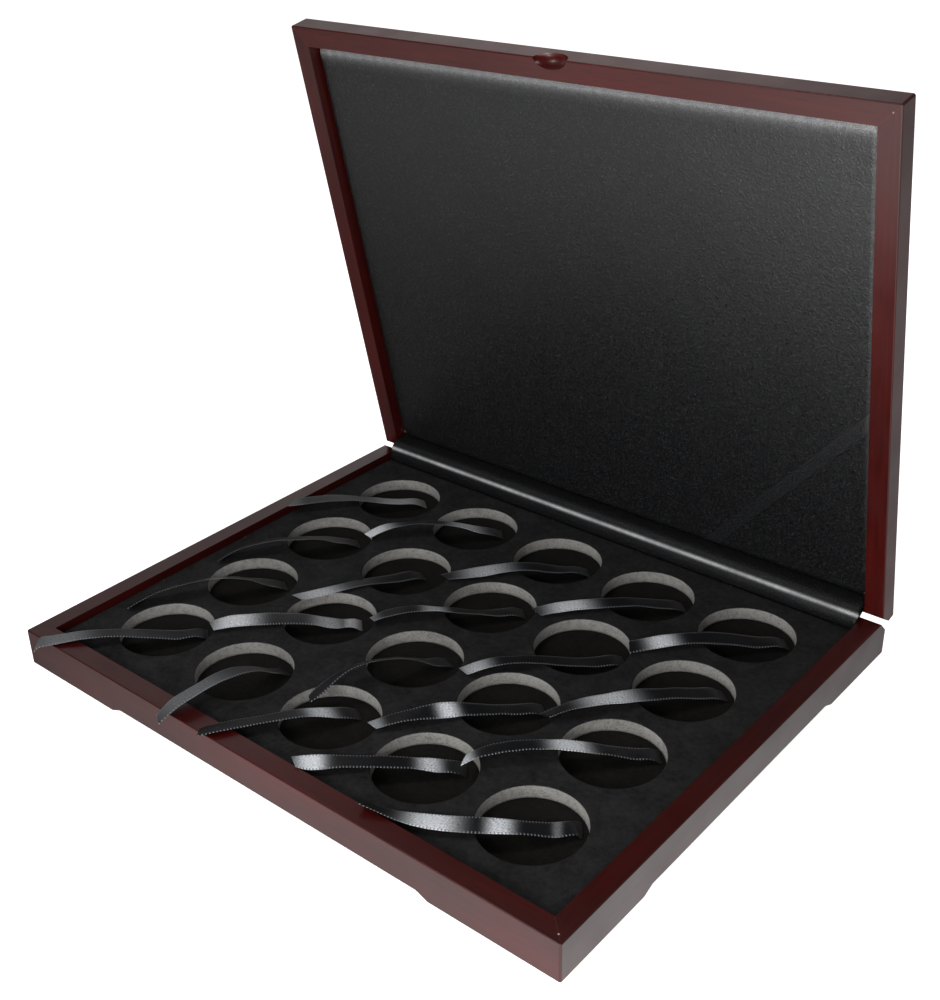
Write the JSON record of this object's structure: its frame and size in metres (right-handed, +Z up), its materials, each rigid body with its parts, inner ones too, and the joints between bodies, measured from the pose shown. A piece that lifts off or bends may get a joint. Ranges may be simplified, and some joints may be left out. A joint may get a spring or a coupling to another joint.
{
  "type": "coin display case",
  "caption": "Flat mitred wooden case with a hinged, satin-lined lid and a flocked foam tray of round coin recesses, each with a pull ribbon.",
  "frame": {"origin": "middle of the base, in the plane that its feet stand on", "axes": "+X along the hinge to the right as seen from the front, +Y from the finger scoop's side to the hinge, +Z up; the lid stands open"},
  "size_m": [0.33, 0.2834, 0.2802],
  "materials": {
    "lacquered_wood": "clear gloss lacquer over dark red stain",
    "lid_board": "clear gloss lacquer over dark red stain",
    "bottom_board": "matte dark stain",
    "tray_board": "matte black",
    "black_flock": "short flock over grey foam",
    "black_satin": "satin weave",
    "black_ribbon": "satin ribbon",
    "lining_card": "matte",
    "hinge_brass": "brushed"
  },
  "bodies": {
    "base": {"base_front_rail": "lacquered_wood", "base_back_rail": "lacquered_wood", "base_left_rail": "lacquered_wood", "base_right_rail": "lacquered_wood", "base_bottom_panel": "bottom_board", "recess_floor_board": "tray_board", "foam_insert": "black_flock", "hinge_cover": "black_satin", "ribbon_r1c1": "black_ribbon", "ribbon_r1c2": "black_ribbon", "ribbon_r1c3": "black_ribbon", "ribbon_r1c4": "black_ribbon", "ribbon_r1c5": "black_ribbon", "ribbon_r2c1": "black_ribbon", "ribbon_r2c2": "black_ribbon", "ribbon_r2c3": "black_ribbon", "ribbon_r2c4": "black_ribbon", "ribbon_r2c5": "black_ribbon", "ribbon_r3c1": "black_ribbon", "ribbon_r3c2": "black_ribbon", "ribbon_r3c3": "black_ribbon", "ribbon_r3c4": "black_ribbon", "ribbon_r3c5": "black_ribbon", "ribbon_r4c1": "black_ribbon", "ribbon_r4c2": "black_ribbon", "ribbon_r4c3": "black_ribbon", "ribbon_r4c4": "black_ribbon", "ribbon_r4c5": "black_ribbon", "hinge_left_base_leaf": "hinge_brass", "hinge_left_pin": "hinge_brass", "hinge_right_base_leaf": "hinge_brass", "hinge_right_pin": "hinge_brass"},
    "lid": {"lid_front_rail": "lacquered_wood", "lid_back_rail": "lacquered_wood", "lid_left_rail": "lacquered_wood", "lid_right_rail": "lacquered_wood", "lid_top_panel": "lid_board", "lid_lining_card": "lining_card", "lid_lining": "black_satin", "certificate_band": "black_ribbon", "hinge_left_lid_leaf": "hinge_brass", "hinge_right_lid_leaf": "hinge_brass"}
  },
  "joints": [
    {"name": "lid_hinge", "type": "hinge", "parent": "base", "child": "lid", "pos_m": [0, 0.1297, 0.0196], "axis": [-1, 0, 0], "range_deg": [-78.5, 16.5], "deforming": ["ribbon_r1c1", "ribbon_r1c2", "ribbon_r1c3", "ribbon_r1c4", "ribbon_r1c5", "ribbon_r2c1", "ribbon_r2c2", "ribbon_r2c3", "ribbon_r2c4", "ribbon_r2c5", "ribbon_r3c1", "ribbon_r3c2", "ribbon_r3c3", "ribbon_r3c4", "ribbon_r3c5", "ribbon_r4c1", "ribbon_r4c2", "ribbon_r4c3", "ribbon_r4c4", "ribbon_r4c5", "hinge_cover"]}
  ]
}
